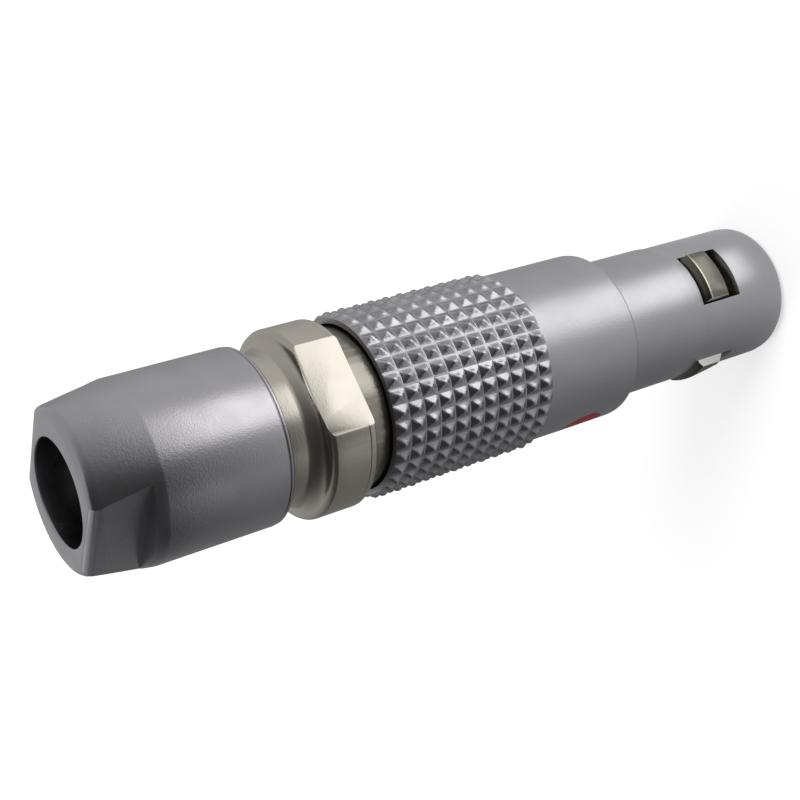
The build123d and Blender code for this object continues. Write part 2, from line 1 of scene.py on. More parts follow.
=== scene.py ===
# %% [markdown]
# # A triaxial cable plug, piece by piece
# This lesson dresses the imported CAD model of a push-pull cable plug. The real thing is turned
# from brass, blasted to a fine satin and plated: chrome on the knurled shell and the rear nut,
# nickel on the part with the wrench flats. The CAD frame gives every place and size. Blender adds
# the rounded edges, the neck's screw thread and the metal itself, whose grain is only a tenth of
# a millimetre wide. First come the camera, the light and the materials, then the tools of a small
# workshop, and then the pieces from the shell inward.

# %% Load the frame
import math

import bmesh
import bpy
from mathutils import Matrix, Vector


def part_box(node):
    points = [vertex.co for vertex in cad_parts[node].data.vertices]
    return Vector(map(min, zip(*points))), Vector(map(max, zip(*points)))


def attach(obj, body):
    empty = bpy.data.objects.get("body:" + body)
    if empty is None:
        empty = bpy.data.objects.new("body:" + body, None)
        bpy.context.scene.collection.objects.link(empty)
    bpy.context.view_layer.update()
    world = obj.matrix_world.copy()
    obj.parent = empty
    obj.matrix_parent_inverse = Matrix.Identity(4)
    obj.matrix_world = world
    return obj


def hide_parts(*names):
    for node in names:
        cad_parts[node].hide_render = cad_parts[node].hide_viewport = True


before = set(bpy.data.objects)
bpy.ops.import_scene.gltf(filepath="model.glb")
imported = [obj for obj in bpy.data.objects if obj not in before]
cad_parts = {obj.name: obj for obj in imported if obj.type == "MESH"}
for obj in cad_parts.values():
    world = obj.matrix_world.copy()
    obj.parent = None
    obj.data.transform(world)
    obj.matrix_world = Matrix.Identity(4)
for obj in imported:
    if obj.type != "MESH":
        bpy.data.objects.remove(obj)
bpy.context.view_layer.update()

# %% [markdown]
# Lengths in this lesson are written in millimetres, because every detail of a plug of this size
# is a few tenths of one. A Blender unit is a metre here, so one number turns millimetres into
# metres. The CAD nodes say where each piece starts and ends, so heights are read from them where
# they can be. The plug stands on its nose: Z = 0 is the nose end and Z rises toward the cable.

# %% Heights taken from the frame
MM = 0.001


def node_heights(name):
    """Lowest and highest point of a CAD node, in millimetres."""
    low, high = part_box(name)
    return low.z / MM, high.z / MM


shell_end_z = node_heights("outer_shell")[1]
nut_front_z, nut_end_z = node_heights("collet_nut")
adapter_front_z, adapter_end_z = node_heights("adapter")
print(f"shell ends at {shell_end_z:.2f}, nut {nut_front_z:.2f} to {nut_end_z:.2f} mm")

# %% [markdown]
# The photographer stood beside the plug, toward its cable end, and looked down along it by about
# thirty degrees. Because our plug stands upright, the same view has the camera rolled over by a
# little more than a right angle. Three angles, a distance and a point to look at describe it
# better than a matrix does. They were found by fitting the plug's outline to the photograph.

# %% Camera
CAMERA_DISTANCE = 67.125
CAMERA_AZIMUTH = -96.566
CAMERA_ELEVATION = 31.398
CAMERA_ROLL = 106.949
CAMERA_TARGET = (-0.431, 0.050, 23.339)
SENSOR_WIDTH = 36.0
FOCAL_LENGTH = 63.43


def direction(azimuth, elevation=0.0):
    """Unit vector at an angle round +Z and an angle above the horizon, in degrees."""
    turn, lift = math.radians(azimuth), math.radians(elevation)
    level = math.cos(lift)
    return Vector((math.cos(turn) * level, math.sin(turn) * level, math.sin(lift)))


camera_data = bpy.data.cameras.new("camera")
camera_data.lens = FOCAL_LENGTH
camera_data.sensor_width = SENSOR_WIDTH
camera_data.clip_start = 1 * MM
camera_data.clip_end = 5.0
camera = bpy.data.objects.new("camera", camera_data)
bpy.context.scene.collection.objects.link(camera)
back = direction(CAMERA_AZIMUTH, CAMERA_ELEVATION)
upright = back.to_track_quat("Z", "Y").to_matrix()
roll = Matrix.Rotation(math.radians(-CAMERA_ROLL), 3, "Z")
camera.location = (Vector(CAMERA_TARGET) + CAMERA_DISTANCE * back) * MM
camera.rotation_euler = (upright @ roll).to_euler()
bpy.context.scene.camera = camera
print("camera at", [round(c / MM, 1) for c in camera.location], "mm")

# %% [markdown]
# Floor, room and metals are all made of shader nodes. In Blender one would add each node and draw
# its wires by hand. A few helpers do the same here, and they serve Geometry Nodes later on as
# well.

# %% Helpers for node trees
def new_node(tree, kind, settings=None, **inputs):
    """Adds a node, sets its own properties and its inputs. A socket as value makes a link. An input
    goes by its name, with underscores for spaces, or by its number as i0, i1 and so on."""
    node = tree.nodes.new(kind)
    for name, value in (settings or {}).items():
        setattr(node, name, value)
    for name, value in inputs.items():
        number = name[1:]
        socket = node.inputs[int(number) if number.isdigit() else name.replace("_", " ")]
        if isinstance(value, bpy.types.NodeSocket):
            tree.links.new(value, socket)
        else:
            socket.default_value = value
    return node


def maths(tree, operation, first, second=0.0):
    settings = {"operation": operation}
    return new_node(tree, "ShaderNodeMath", settings, i0=first, i1=second).outputs[0]


def vector_maths(tree, operation, **inputs):
    """Gives both outputs, since the result is a Vector for some operations, a Value for others."""
    return new_node(tree, "ShaderNodeVectorMath", {"operation": operation}, **inputs).outputs


def ramp_between(tree, value, low, high, out_low=0.0, out_high=1.0):
    """Smooth step from one level to another while the value goes from low to high."""
    settings = {"interpolation_type": "SMOOTHSTEP"}
    levels = {"i1": low, "i2": high, "i3": out_low, "i4": out_high}
    return new_node(tree, "ShaderNodeMapRange", settings, i0=value, **levels).outputs[0]


print("node helpers ready")

# %% [markdown]
# Metal shows what stands round it, so the surroundings matter more than the lamps do. To the eye
# of the camera the floor and the room are plain white. The reflections in the metal see cards
# instead, as in a product photographer's tent. The table is paler on one side than on the other.
# A strip of it is bright and makes the bright band that runs along every turned surface. Two grey
# patches lie farther out and give the plug its darker side. Angles are in degrees, round +Z or to
# both sides of an azimuth, and distances from the axis are in millimetres.

# %% What the metal sees on the table
PALE_AZIMUTH = -50.0
TABLE_LEVELS = (0.22, 0.80)
BAND_AZIMUTH = -66.0
BAND_WIDTHS = (9.0, 31.0)
BAND_STRENGTH = 1.35
BAND_STARTS = (5.2, 8.2)
BAND_ENDS = (68.0, 110.0)
# Each grey patch: azimuth, half widths, distances between which it sets in, and share taken away.
GREY_PATCHES = (
    (-118.0, (5.0, 30.0), (42.0, 56.0), 0.45),
    (-150.0, (30.0, 95.0), (70.0, 120.0), 0.82),
)


def azimuth_share(tree, vector, azimuth):
    """Cosine of the angle between a vector, seen from above, and an azimuth."""
    flat = vector_maths(tree, "MULTIPLY", i0=vector, i1=(1, 1, 0))["Vector"]
    unit = vector_maths(tree, "NORMALIZE", i0=flat)["Vector"]
    return vector_maths(tree, "DOT_PRODUCT", i0=unit, i1=tuple(direction(azimuth)))["Value"]


def sector(tree, vector, azimuth, widths, strength):
    """Full strength round an azimuth, falling to nothing between two angles from it."""
    inner, outer = (math.cos(math.radians(width)) for width in widths)
    return ramp_between(tree, azimuth_share(tree, vector, azimuth), outer, inner, 0.0, strength)


def table_card(tree, place):
    """Brightness of the table as the metal sees it, at a place in metres from the axis."""
    reach = maths(tree, "DIVIDE", vector_maths(tree, "LENGTH", i0=place)["Value"], MM)
    paleness = azimuth_share(tree, place, PALE_AZIMUTH)
    level = ramp_between(tree, paleness, -1.0, 1.0, *TABLE_LEVELS)
    for azimuth, widths, starts, share in GREY_PATCHES:
        grey = sector(tree, place, azimuth, widths, share)
        grey = maths(tree, "MULTIPLY", grey, ramp_between(tree, reach, *starts))
        level = maths(tree, "MULTIPLY", level, maths(tree, "SUBTRACT", 1.0, grey))
    band = sector(tree, place, BAND_AZIMUTH, BAND_WIDTHS, BAND_STRENGTH)
    band = maths(tree, "MULTIPLY", band, ramp_between(tree, reach, *BAND_STARTS))
    band = maths(tree, "MULTIPLY", band, ramp_between(tree, reach, *BAND_ENDS, 1.0, 0.0))
    return maths(tree, "ADD", level, band)


def by_ray(tree, seen, mirrored, other):
    """One shader for the camera and for glass, one for what metal mirrors, one for other rays."""
    rays = new_node(tree, "ShaderNodeLightPath").outputs
    direct = maths(tree, "MAXIMUM", rays["Is Camera Ray"], rays["Is Transmission Ray"])
    glossy = rays["Is Glossy Ray"]
    indirect = new_node(tree, "ShaderNodeMixShader", i0=glossy, i1=other, i2=mirrored).outputs[0]
    return new_node(tree, "ShaderNodeMixShader", i0=direct, i1=indirect, i2=seen).outputs[0]


print("bright band toward azimuth", BAND_AZIMUTH)

# %% [markdown]
# The plug stands on a wide sheet of white paper. A little light of its own lifts the paper to
# plain white, and it still takes the plug's soft shadow. Only mirrored rays see the cards on it.

# %% Floor, white to the camera
FLOOR_SIZE = 3000.0
FLOOR_WHITE = 0.80
FLOOR_LIFT = 0.48

half = FLOOR_SIZE / 2 * MM
floor_corners = [(-half, -half, 0), (half, -half, 0), (half, half, 0), (-half, half, 0)]
floor_mesh = bpy.data.meshes.new("floor")
floor_mesh.from_pydata(floor_corners, [], [(0, 1, 2, 3)])
floor = bpy.data.objects.new("floor", floor_mesh)
bpy.context.scene.collection.objects.link(floor)
floor_material = bpy.data.materials.new("floor_white")
floor_material.use_nodes = True
tree = floor_material.node_tree
tree.nodes.clear()
white = new_node(tree, "ShaderNodeBsdfDiffuse", Color=(FLOOR_WHITE, FLOOR_WHITE, FLOOR_WHITE, 1))
lift = new_node(tree, "ShaderNodeEmission", Strength=FLOOR_LIFT)
paper = new_node(tree, "ShaderNodeAddShader", i0=white.outputs[0], i1=lift.outputs[0]).outputs[0]
card = table_card(tree, new_node(tree, "ShaderNodeTexCoord").outputs["Object"])
cards = new_node(tree, "ShaderNodeEmission", Strength=card).outputs[0]
new_node(tree, "ShaderNodeOutputMaterial", Surface=by_ray(tree, paper, cards, paper))
floor_mesh.materials.append(floor_material)
print("floor", FLOOR_SIZE / 1000, "m wide")

# %% [markdown]
# Above the table is the room, pale on one side and dim on the other for the metal, and plain
# white for the camera. Two soft lamps light the matte pieces and cast the shadow on the paper.
# They are hidden from reflections, where they would show as hard spots.

# %% Room and lamps
SKY_LEVEL = 0.45
ROOM_AZIMUTH = 30.0
ROOM_LEVELS = (0.05, 0.60)
LAMP_DISTANCE = 600.0
LAMP_SIZE = 260.0
# Each lamp: azimuth, elevation and power in watts.
LAMPS = {"key": (-45.0, 58.0, 1.1), "fill": (120.0, 50.0, 0.55)}


def glow(tree, strength):
    """A plain white background of some strength."""
    return new_node(tree, "ShaderNodeBackground", Color=(1, 1, 1, 1), Strength=strength).outputs[0]


world = bpy.data.worlds.new("studio")
world.use_nodes = True
bpy.context.scene.world = world
tree = world.node_tree
tree.nodes.clear()
look = new_node(tree, "ShaderNodeTexCoord").outputs["Generated"]
room = ramp_between(tree, azimuth_share(tree, look, ROOM_AZIMUTH), -1.0, 1.0, *ROOM_LEVELS)
surroundings = by_ray(tree, glow(tree, 1.0), glow(tree, room), glow(tree, SKY_LEVEL))
new_node(tree, "ShaderNodeOutputWorld", Surface=surroundings)

for name, (azimuth, elevation, power) in LAMPS.items():
    lamp = bpy.data.lights.new(name, "AREA")
    lamp.shape = "SQUARE"
    lamp.size = LAMP_SIZE * MM
    lamp.energy = power
    light = bpy.data.objects.new(name, lamp)
    toward = direction(azimuth, elevation)
    light.location = toward * LAMP_DISTANCE * MM
    light.rotation_euler = toward.to_track_quat("Z", "Y").to_euler()
    light.visible_glossy = False
    bpy.context.scene.collection.objects.link(light)
bpy.context.scene.view_settings.view_transform = "Standard"
print("lamps:", ", ".join(LAMPS))

# %% [markdown]
# Blasted and plated metal is a mirror with a skin of tiny dents. So each metal here is a
# Principled shader at full metallic, with a bump made of two sizes of noise: the dents that the
# blasting left, and a finer tooth between them. A third, slow noise varies the roughness and the
# shade, as handling does. The pattern reads Object coordinates, turned into millimetres, so its
# size is the real one. The colours are lower than the plating's own, because they were matched
# under the bright strip.

# %% Metal materials
FINE_DENT_SHARE = 0.35
HANDLING_SIZE = 1.6
# Each metal: colour, worn colour, roughness and its change, width and depth of the dents in mm.
METALS = {
    "shell_chrome": ((0.395, 0.395, 0.415), (0.38, 0.38, 0.40), 0.36, 0.02, 0.09, 0.0065),
    "knurl_chrome": ((0.41, 0.41, 0.43), (0.34, 0.34, 0.36), 0.24, 0.06, 0.16, 0.0120),
    "nut_chrome": ((0.405, 0.395, 0.415), (0.38, 0.372, 0.395), 0.25, 0.03, 0.085, 0.0050),
    "flange_nickel": ((0.48, 0.455, 0.40), (0.47, 0.44, 0.385), 0.23, 0.03, 0.085, 0.0038),
    # Painted shade: the land's nickel is darker than the flange's, which dims the bright strip it
    # mirrors.
    "shaded_land_nickel": ((0.30, 0.285, 0.245), (0.27, 0.255, 0.215), 0.27, 0.03, 0.15, 0.0045),
    # Painted highlight: the nut's flats are a much lighter chrome than the nut itself.
    "flat_highlight_chrome": ((0.68, 0.68, 0.71), (0.63, 0.63, 0.66), 0.27, 0.03, 0.14, 0.0050),
    # Painted shade: the corners where the nut's flats end are a much darker chrome.
    "corner_shade_chrome": ((0.18, 0.18, 0.195), (0.16, 0.16, 0.175), 0.35, 0.03, 0.085, 0.0050),
    # Painted shade: the latch metal is a very dark nickel, for the shade inside the shell.
    "shaded_latch_nickel": ((0.150, 0.142, 0.120), (0.125, 0.118, 0.098), 0.26, 0.03, 0.18, 0.0040),
    # Painted highlight on the line along the crest of each latch tooth.
    "crest_highlight_nickel": ((0.44, 0.41, 0.33), (0.40, 0.37, 0.29), 0.25, 0.03, 0.18, 0.0030),
    # Painted highlight on the two sides of each latch tooth.
    "side_highlight_nickel": ((0.86, 0.85, 0.82), (0.80, 0.79, 0.76), 0.25, 0.03, 0.18, 0.0030),
    "contact_gold": ((0.80, 0.58, 0.25), (0.76, 0.54, 0.22), 0.22, 0.06, 0.30, 0.0015),
}


def new_material(name):
    """Gives a material, its node tree, its shader and the object's coordinates in millimetres."""
    material = bpy.data.materials.new(name)
    material.use_nodes = True
    tree = material.node_tree
    place = new_node(tree, "ShaderNodeTexCoord").outputs["Object"]
    place = vector_maths(tree, "SCALE", i0=place, Scale=1 / MM)["Vector"]
    return material, tree, tree.nodes["Principled BSDF"], place


def noise(tree, vector, size, detail=2.0):
    """Noise whose lumps are about as wide as the size, in millimetres."""
    inputs = {"Vector": vector, "Scale": 1 / size, "Detail": detail}
    return new_node(tree, "ShaderNodeTexNoise", **inputs).outputs["Fac"]


def dress(tree, shader, height, depth, slow, roughness, change, colour, worn, wear):
    """Wires the shader: a bump of some depth, and a roughness and a tint that vary slowly."""
    bump = new_node(tree, "ShaderNodeBump", Strength=1.0, Distance=depth * MM, Height=height)
    rough = ramp_between(tree, slow, 0.3, 0.7, roughness - change, roughness + change)
    shades = {"i6": (*colour, 1), "i7": (*worn, 1)}
    tint = new_node(tree, "ShaderNodeMix", {"data_type": "RGBA"}, i0=wear, **shades)
    tree.links.new(bump.outputs[0], shader.inputs["Normal"])
    tree.links.new(rough, shader.inputs["Roughness"])
    tree.links.new(tint.outputs[2], shader.inputs["Base Color"])


def blasted_metal(name, colour, worn, roughness, change, dent_size, dent_depth):
    """Satin metal with dents of a given width and depth in millimetres."""
    material, tree, shader, place = new_material(name)
    shader.inputs["Metallic"].default_value = 1.0
    dents = noise(tree, place, dent_size, 1.0)
    fine = maths(tree, "MULTIPLY", noise(tree, place, dent_size / 3, 0.0), FINE_DENT_SHARE)
    height = maths(tree, "ADD", dents, fine)
    slow = noise(tree, place, HANDLING_SIZE)
    wear = ramp_between(tree, slow, 0.25, 0.75)
    dress(tree, shader, height, dent_depth, slow, roughness, change, colour, worn, wear)
    return material


metals = {name: blasted_metal(name, *looks) for name, looks in METALS.items()}
print("metals:", ", ".join(metals))

# %% [markdown]
# Two things on the plug aren't metal. The alignment dot is enamel, baked hard and rubbed dull by
# the fingers. The insulators are turned from a white plastic that looks faintly waxy, with a fine
# grain from the lathe. Both change shade slowly, since neither is ever quite even.

# %% Enamel and insulator materials
SHADE_SIZE = 0.8
SHADE_ROUGHNESS = 0.05
ENAMEL_SHINE = 0.2


def matte_surface(name, colour, dark, roughness, grain, depth):
    """Enamel or plastic with a slow change of shade and a grain of some width and depth in mm."""
    material, tree, shader, place = new_material(name)
    slow = noise(tree, place, SHADE_SIZE)
    height = noise(tree, place, grain)
    dress(tree, shader, height, depth, slow, roughness, SHADE_ROUGHNESS, colour, dark, slow)
    return material, shader


red, dark_red = (0.26, 0.008, 0.014), (0.20, 0.006, 0.012)
red_enamel, enamel_shader = matte_surface("red_enamel", red, dark_red, 0.50, 0.5, 0.004)
enamel_shader.inputs["Specular IOR Level"].default_value = ENAMEL_SHINE
white, dark_white = (0.76, 0.75, 0.71), (0.70, 0.69, 0.65)
white_insulator, _ = matte_surface("white_insulator", white, dark_white, 0.42, 0.12, 0.002)
print("enamel and insulator ready")

# %% [markdown]
# Nearly everything on a plug is turned on a lathe, so one helper makes the main pieces: it takes
# the half section as (radius, height) points and spins it. A lathe leaves no knife edges either.
# The helper therefore rounds each corner of the section with a little arc before it spins it, and
# those arcs are what catches the light. Pieces are made in millimetres, where cuts and bevels are
# steady, and shrunk to metres when they are done.

# %% Turned pieces
STEPS_AROUND = 180
ARC_POINTS = 4
MERGE_DISTANCE = 1e-5


def rounded(points):
    """Half section with its corners turned into arcs. A point is (radius, height, rounding)."""
    result = []
    for index, (x, z, rounding) in enumerate(points):
        corner = Vector((x, z))
        before = Vector(points[index - 1][:2]) - corner
        after = Vector(points[(index + 1) % len(points)][:2]) - corner
        if rounding == 0:
            result.append(corner)
            continue
        angle = before.angle(after)
        back_off = min(rounding / math.tan(angle / 2), before.length / 2, after.length / 2)
        start = corner + before.normalized() * back_off
        end = corner + after.normalized() * back_off
        count = max(2, round(ARC_POINTS * (math.pi - angle) / (math.pi / 2)))
        for step in range(count + 1):
            share = step / count
            blend_a = start.lerp(corner, share)
            blend_b = corner.lerp(end, share)
            result.append(blend_a.lerp(blend_b, share))
    return result


def concave_arc(start, end, count=10):
    """Quarter circle that hollows out from a level start to an upright end."""
    radius_x, radius_z = start[0] - end[0], end[1] - start[1]
    points = []
    for step in range(1, count):
        turn = math.pi / 2 * step / count
        points.append((start[0] - radius_x * math.sin(turn), end[1] - radius_z * math.cos(turn), 0))
    return points


def new_piece(name, mesh):
    piece = bpy.data.objects.new(name, mesh)
    bpy.context.scene.collection.objects.link(piece)
    return piece


def spun(name, points):
    """A closed half section turned into a ring-shaped solid, faces outward."""
    section = rounded(points)
    count = len(section)
    verts = []
    for step in range(STEPS_AROUND):
        turn = 2 * math.pi * step / STEPS_AROUND
        for point in section:
            verts.append((point.x * math.cos(turn), point.x * math.sin(turn), point.y))
    faces = []
    for step in range(STEPS_AROUND):
        here, there = step * count, (step + 1) % STEPS_AROUND * count
        for index in range(count):
            following = (index + 1) % count
            faces.append((here + index, there + index, there + following, here + following))
    mesh = bpy.data.meshes.new(name)
    mesh.from_pydata(verts, [], faces)
    tidy(mesh)
    return new_piece(name, mesh)


def tidy(mesh):
    """Merges doubles and points the faces outward."""
    work = bmesh.new()
    work.from_mesh(mesh)
    bmesh.ops.remove_doubles(work, verts=work.verts, dist=MERGE_DISTANCE)
    bmesh.ops.recalc_face_normals(work, faces=work.faces)
    if work.calc_volume(signed=True) < 0:
        bmesh.ops.reverse_faces(work, faces=work.faces)
    work.to_mesh(mesh)
    work.free()


print("lathe ready:", STEPS_AROUND, "steps round")

# %% [markdown]
# Windows and wrench flats are milled after turning. A Boolean modifier does the same, with a
# cutter for each. The cut leaves sharp edges, so a narrow Bevel follows, limited by angle so that
# it finds only them. The result is frozen to a plain mesh, which every frame call and the export
# expect.

# %% Cutting and freezing
CUTTER_REACH = 12.0
ARC_STEPS = 6


def freeze(piece):
    """Applies the modifiers that are on a piece and leaves a plain mesh."""
    graph = bpy.context.evaluated_depsgraph_get()
    mesh = bpy.data.meshes.new_from_object(piece.evaluated_get(graph))
    piece.modifiers.clear()
    piece.data = mesh
    return piece


def cut(piece, cutters):
    for cutter in cutters:
        modifier = piece.modifiers.new("cut", "BOOLEAN")
        modifier.operation = "DIFFERENCE"
        modifier.solver = "EXACT"
        modifier.object = cutter
    freeze(piece)
    for cutter in cutters:
        bpy.data.objects.remove(cutter)


def soften(piece, width, segments, angle):
    """Rounds the edges where the surface turns by more than an angle, in degrees."""
    modifier = piece.modifiers.new("soften", "BEVEL")
    modifier.width = width
    modifier.segments = segments
    modifier.limit_method = "ANGLE"
    modifier.angle_limit = math.radians(angle)
    return freeze(piece)


def milling_cutter(across, low_z, high_z, angle, end_round=0.0):
    """A block that leaves a flat at half the width across, from low_z to beyond high_z. With an end
    rounding it bends inward there, which rounds the edge between the flat and the end face."""
    near = across / 2
    above = high_z + 1.0
    outline = [(near - end_round, above), (CUTTER_REACH, above), (CUTTER_REACH, low_z)]
    outline.append((near, low_z))
    for step in range(ARC_STEPS + 1 if end_round else 0):
        turn = math.pi / 2 * step / ARC_STEPS
        inward, downward = end_round * (1 - math.cos(turn)), end_round * (1 - math.sin(turn))
        outline.append((near - inward, high_z - downward))
    count = len(outline)
    verts = [(x, side * CUTTER_REACH, z) for side in (-1, 1) for x, z in outline]
    faces = [tuple(range(count)), tuple(range(2 * count - 1, count - 1, -1))]
    for index in range(count):
        following = (index + 1) % count
        faces.append((index, index + count, following + count, following))
    mesh = bpy.data.meshes.new("cutter")
    mesh.from_pydata(verts, [], faces)
    tidy(mesh)
    mesh.transform(Matrix.Rotation(math.radians(angle), 4, "Z"))
    return new_piece("cutter", mesh)


def box_cutter(low, high, angle):
    """A box between two corners, turned about the axis."""
    work = bmesh.new()
    bmesh.ops.create_cube(work, size=1)
    size = [b - a for a, b in zip(low, high)]
    middle = [(a + b) / 2 for a, b in zip(low, high)]
    bmesh.ops.scale(work, vec=size, verts=work.verts)
    bmesh.ops.translate(work, vec=middle, verts=work.verts)
    mesh = bpy.data.meshes.new("cutter")
    work.to_mesh(mesh)
    work.free()
    mesh.transform(Matrix.Rotation(math.radians(angle), 4, "Z"))
    return new_piece("cutter", mesh)


print("mill ready")

# %% [markdown]
# Every finished piece gets the same last steps: shrink to metres, give it smooth shading with
# sharp edges where the surface really turns, hang a material on it, hang it on the empty of the
# body it rides on, and hide the CAD nodes it stands for.

# %% Finishing a piece
SHARP_ANGLE = 38


def complete(piece, material, body, nodes, sharp=SHARP_ANGLE):
    """Shrinks a piece to metres, shades it, hangs it on its body's empty and hides its CAD nodes."""
    piece.data.transform(Matrix.Scale(MM, 4))
    piece.data.materials.clear()
    piece.data.materials.append(material)
    piece.data.polygons.foreach_set("material_index", [0] * len(piece.data.polygons))
    piece.data.shade_smooth()
    piece.data.set_sharp_from_angle(angle=math.radians(sharp))
    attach(piece, body)
    if nodes:
        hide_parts(*nodes)
    piece.data.calc_loop_triangles()
    print(f"{piece.name}: {len(piece.data.loop_triangles)} triangles on {body}")


def second_finish(piece, material, chosen):
    """Gives the faces that a test chooses another material. Returns how many they are."""
    piece.data.materials.append(material)
    faces = [face for face in piece.data.polygons if chosen(face)]
    for face in faces:
        face.material_index = len(piece.data.materials) - 1
    return len(faces)


print("ready to finish pieces")

# %% [markdown]
# The shell is the longest piece: the smooth nose, a step, the collar and the bed of the knurl,
# all turned from one bar. The user pulls it back by its grip to let go of the socket. The collar
# has a fine line where the nose starts, and a soft corner in front. The lip inside the nose
# reaches back nearly to the latch windows, because otherwise one could look in through a window
# and out in front.

# %% Shell body
NOSE_R = 3.54
NOSE_BACK_R = 3.60
NOSE_STEP_Z = 6.20
NOSE_STEP_LENGTH = 0.55
NOSE_STEP_ROUND = 0.4
NOSE_LENGTH = 11.55
NOSE_ROUND = 1.0
NOSE_LIP_R = 2.20
NOSE_LIP_ROUND = 0.12
NOSE_LIP_LENGTH = 2.98
NOSE_BORE_R = 3.00
COLLAR_R = 4.275
COLLAR_ROUND = 0.50
SHELL_STEP_Z = 12.00
SHELL_BORE_R = 3.75
SHELL_MOUTH_R = 3.98
SHELL_MOUTH_DEPTH = 2.40
SHELL_MOUTH_ROUND = 0.05
KNURL_R = 4.50
KNURL_ROWS = 11
KNURL_AROUND = 36
KNURL_PITCH = 0.83
KNURL_BED_R = 4.28
KNURL_BED_GAP = 0.10
KNURL_BED_CHAMFER = 0.02
EDGE_ROUND = 0.06
HAIR_ROUND = 0.03
JOINT_LINE = 0.035

knurl_start_z = shell_end_z - KNURL_ROWS * KNURL_PITCH
mouth_z = shell_end_z - SHELL_MOUTH_DEPTH
shell_section = [
    (NOSE_LIP_R, 0, NOSE_LIP_ROUND),
    (NOSE_R, 0, NOSE_ROUND),
    (NOSE_R, NOSE_STEP_Z, NOSE_STEP_ROUND),
    (NOSE_BACK_R, NOSE_STEP_Z + NOSE_STEP_LENGTH, NOSE_STEP_ROUND),
    (NOSE_BACK_R, NOSE_LENGTH - JOINT_LINE, 0),
    (NOSE_BACK_R - JOINT_LINE, NOSE_LENGTH, 0),
    (COLLAR_R, NOSE_LENGTH, COLLAR_ROUND),
    (COLLAR_R, knurl_start_z - KNURL_BED_GAP, HAIR_ROUND),
    (KNURL_BED_R, knurl_start_z + KNURL_BED_CHAMFER, HAIR_ROUND),
    (KNURL_BED_R, shell_end_z - KNURL_BED_CHAMFER, HAIR_ROUND),
    (SHELL_MOUTH_R, shell_end_z, SHELL_MOUTH_ROUND),
    (SHELL_MOUTH_R, mouth_z, 0),
    (SHELL_BORE_R, mouth_z, EDGE_ROUND),
    (SHELL_BORE_R, SHELL_STEP_Z, 0),
    (NOSE_BORE_R, SHELL_STEP_Z, EDGE_ROUND),
    (NOSE_BORE_R, NOSE_LIP_LENGTH, 0),
    (NOSE_LIP_R, NOSE_LIP_LENGTH, EDGE_ROUND),
]
shell = spun("shell_body", shell_section)
print("knurl bed from", round(knurl_start_z, 2), "mm")

# %% [markdown]
# The latches reach out through three windows in the nose wall. A box cutter for each runs from
# inside the bore to outside the nose, so that the cut goes clean through. The narrow bevel after
# it is the deburring, which every milled edge gets.

# %% Latch windows
LATCH_ANGLES = (180.0, -77.5, 77.5)
WINDOW_Z = 3.45
WINDOW_LENGTH = 2.70
WINDOW_WIDTH = 2.90

windows = []
for angle in LATCH_ANGLES:
    low = (NOSE_BORE_R / 2, -WINDOW_WIDTH / 2, WINDOW_Z)
    high = (2 * NOSE_R, WINDOW_WIDTH / 2, WINDOW_Z + WINDOW_LENGTH)
    windows.append(box_cutter(low, high, angle))
cut(shell, windows)
soften(shell, width=0.05, segments=2, angle=55)
complete(shell, metals["shell_chrome"], "release_shell", ["outer_shell"])

# %% [markdown]
# The grip is a knurl of 396 little pyramids, eleven along and thirty-six round, which a wheel
# presses or a cutter leaves. One pyramid is modelled here as a small height field with slightly
# hollow flanks. Its two profiles, round the grip and along it, meet in four crests.

# %% One pyramid
# Height of a flank at shares of the way from the tooth's middle, 0, to the valley, 1.
AROUND_PROFILE = ((0.14, 1.0), (0.45, 0.45), (0.80, 0.10), (1.0, 0.0))
ALONG_PROFILE = ((0.14, 1.0), (0.50, 0.50), (0.90, 0.07), (1.0, 0.0))


def flank_height(share, profile):
    """Height on a tooth's flank at a share of the way from its middle to the valley."""
    share = abs(share)
    for (near, high), (far, low) in zip(profile, profile[1:]):
        if share <= far:
            return high + (low - high) * max(0.0, share - near) / (far - near)
    return 0.0


def stops(profile):
    """The places on both flanks, from -1 to 1, where a profile bends."""
    away = [far for far, _ in profile]
    return [-share for share in reversed(away)] + away


def pyramid():
    """A tooth on the knurl's bed, at the first step and row, split along its four crests."""
    half_turn = math.pi / KNURL_AROUND
    verts, faces = [], []
    count = 2 * len(AROUND_PROFILE)
    for along in stops(ALONG_PROFILE):
        for across in stops(AROUND_PROFILE):
            around_height = flank_height(across, AROUND_PROFILE)
            height = min(around_height, flank_height(along, ALONG_PROFILE))
            radius = KNURL_BED_R + (KNURL_R - KNURL_BED_R) * height
            turn = across * half_turn
            z = knurl_start_z + KNURL_PITCH * (along + 1) / 2
            verts.append((radius * math.cos(turn), radius * math.sin(turn), z))
    for row in range(count - 1):
        for column in range(count - 1):
            a = row * count + column
            b, c, d = a + 1, a + count + 1, a + count
            if row == column:
                faces += [(a, b, c), (a, c, d)]
            elif row + column == count - 2:
                faces += [(a, b, d), (b, c, d)]
            else:
                faces.append((a, b, c, d))
    mesh = bpy.data.meshes.new("pyramid")
    mesh.from_pydata(verts, [], faces)
    return new_piece("shell_knurl", mesh)


knurl = pyramid()
print("one pyramid:", len(knurl.data.polygons), "faces")

# %% [markdown]
# A Geometry Nodes tree repeats the pyramid: a line of points, one for each pyramid, whose index
# gives the row and the step round. Its numbers are named inputs, so the pitch or the number of
# rows can be changed in one place. A fixed seed varies the heights by up to two hundredths of a
# millimetre, since no knurl is quite even. Every tree ends by making its copies real and hanging
# the material on them, and is then frozen to a plain mesh.

# %% A tree that repeats a shape in rows round the axis
TREE_MERGE_DISTANCE = 0.002


